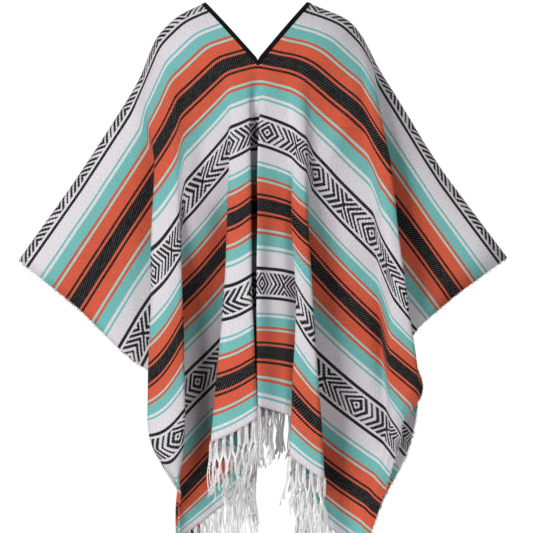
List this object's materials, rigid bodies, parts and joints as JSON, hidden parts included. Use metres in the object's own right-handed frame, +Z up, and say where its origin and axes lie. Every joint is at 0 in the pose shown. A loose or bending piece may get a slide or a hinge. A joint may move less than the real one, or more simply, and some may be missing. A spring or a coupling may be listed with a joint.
{
  "type": "mexican poncho",
  "caption": "Worn, hollow poncho: a striped blanket folded at the shoulders, with a taped V neck, open sides and a knotted fringe at each hem.",
  "frame": {"origin": "on the shoulder line, under the middle of the neck opening, where the wearer's shoulders carry it", "axes": "+Z up, -Y to the front, +X to the right of someone facing the front"},
  "size_m": [1.0266, 0.3211, 1.2683],
  "materials": {
    "cloth": "striped woven blanket cloth in off-white, turquoise, orange and black",
    "tape": "black woven tape",
    "yarn": "off-white cotton yarn"
  },
  "bodies": {
    "root": {"front_panel": "cloth", "back_panel": "cloth", "neck_tape": "tape", "front_fringe": "yarn", "back_fringe": "yarn"}
  },
  "joints": []
}
